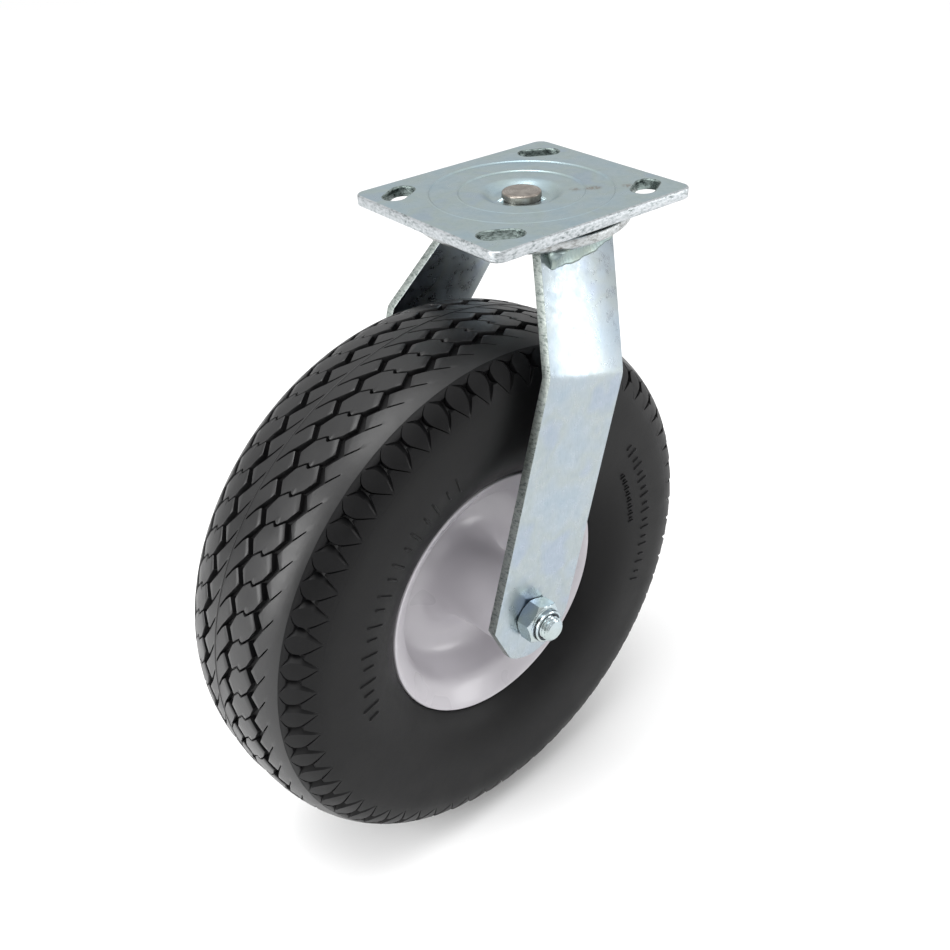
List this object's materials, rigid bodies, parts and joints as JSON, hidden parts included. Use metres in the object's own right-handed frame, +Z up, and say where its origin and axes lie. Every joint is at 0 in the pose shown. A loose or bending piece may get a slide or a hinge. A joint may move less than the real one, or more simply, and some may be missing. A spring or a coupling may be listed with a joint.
{
  "type": "swivel plate caster",
  "caption": "Heavy swivel caster for a rolling gate: slotted mounting plate, bent-bar fork and a fat flat-free tyre on a pressed rim.",
  "frame": {"origin": "where the swivel axis meets the top plane of the mounting plate", "axes": "+Z up out of the plate along the swivel axis, +X along the plate's long side, which is the rolling direction within the fork's small rest angle"},
  "size_m": [0.2703, 0.135, 0.3159],
  "materials": {
    "zinc": "bright zinc plate, satin",
    "pin": "bare ground steel",
    "bearing": "ground and oiled bearing steel",
    "rubber": "moulded, satin black",
    "rim": "light grey gloss enamel",
    "nylon": "blue nylon"
  },
  "bodies": {
    "root": {"top_plate": "zinc", "kingpin": "pin", "kingpin_nut": "zinc", "lower_race_cap": "zinc"},
    "upper_balls": {"upper_ball_ring": "bearing"},
    "lower_balls": {"lower_ball_ring": "bearing"},
    "fork": {"fork_crown": "zinc", "fork_leg_near": "zinc", "fork_leg_far": "zinc", "leg_weld_near": "zinc", "leg_weld_far": "zinc", "axle_bolt": "zinc", "axle_nut": "zinc", "nut_nylon_insert": "nylon", "bearing_sleeve": "bearing", "thrust_washer_near": "zinc", "thrust_washer_far": "zinc", "bearing_inner_ring_near": "bearing", "bearing_inner_ring_far": "bearing"},
    "wheel": {"tyre": "rubber", "rim_half_near": "rim", "rim_half_far": "rim", "bearing_outer_ring_near": "bearing", "bearing_outer_ring_far": "bearing", "bearing_shield_near": "bearing", "bearing_shield_far": "bearing"},
    "cage_near": {"ball_cage_near": "bearing"},
    "cage_far": {"ball_cage_far": "bearing"}
  },
  "joints": [
    {"name": "swivel", "type": "hinge", "parent": "root", "child": "fork", "pos_m": [0, 0, 0], "axis": [0, 0, 1], "continuous": true},
    {"name": "upper_ball_roll", "type": "hinge", "parent": "root", "child": "upper_balls", "pos_m": [0, 0, 0], "axis": [0, 0, 1], "continuous": true},
    {"name": "lower_ball_roll", "type": "hinge", "parent": "root", "child": "lower_balls", "pos_m": [0, 0, 0], "axis": [0, 0, 1], "continuous": true},
    {"name": "wheel_spin", "type": "hinge", "parent": "fork", "child": "wheel", "pos_m": [-0.05393, -0.00594, -0.1809], "axis": [-0.0637, 0.998, 0], "continuous": true},
    {"name": "cage_near_roll", "type": "hinge", "parent": "fork", "child": "cage_near", "pos_m": [-0.05393, -0.00594, -0.1809], "axis": [-0.0637, 0.998, 0], "continuous": true},
    {"name": "cage_far_roll", "type": "hinge", "parent": "fork", "child": "cage_far", "pos_m": [-0.05393, -0.00594, -0.1809], "axis": [-0.0637, 0.998, 0], "continuous": true}
  ],
  "couplings": [
    {"joint": "upper_ball_roll", "follows": "swivel", "ratio": 0.5},
    {"joint": "lower_ball_roll", "follows": "swivel", "ratio": 0.5},
    {"joint": "cage_near_roll", "follows": "wheel_spin", "ratio": 0.6063},
    {"joint": "cage_far_roll", "follows": "wheel_spin", "ratio": 0.6063}
  ]
}
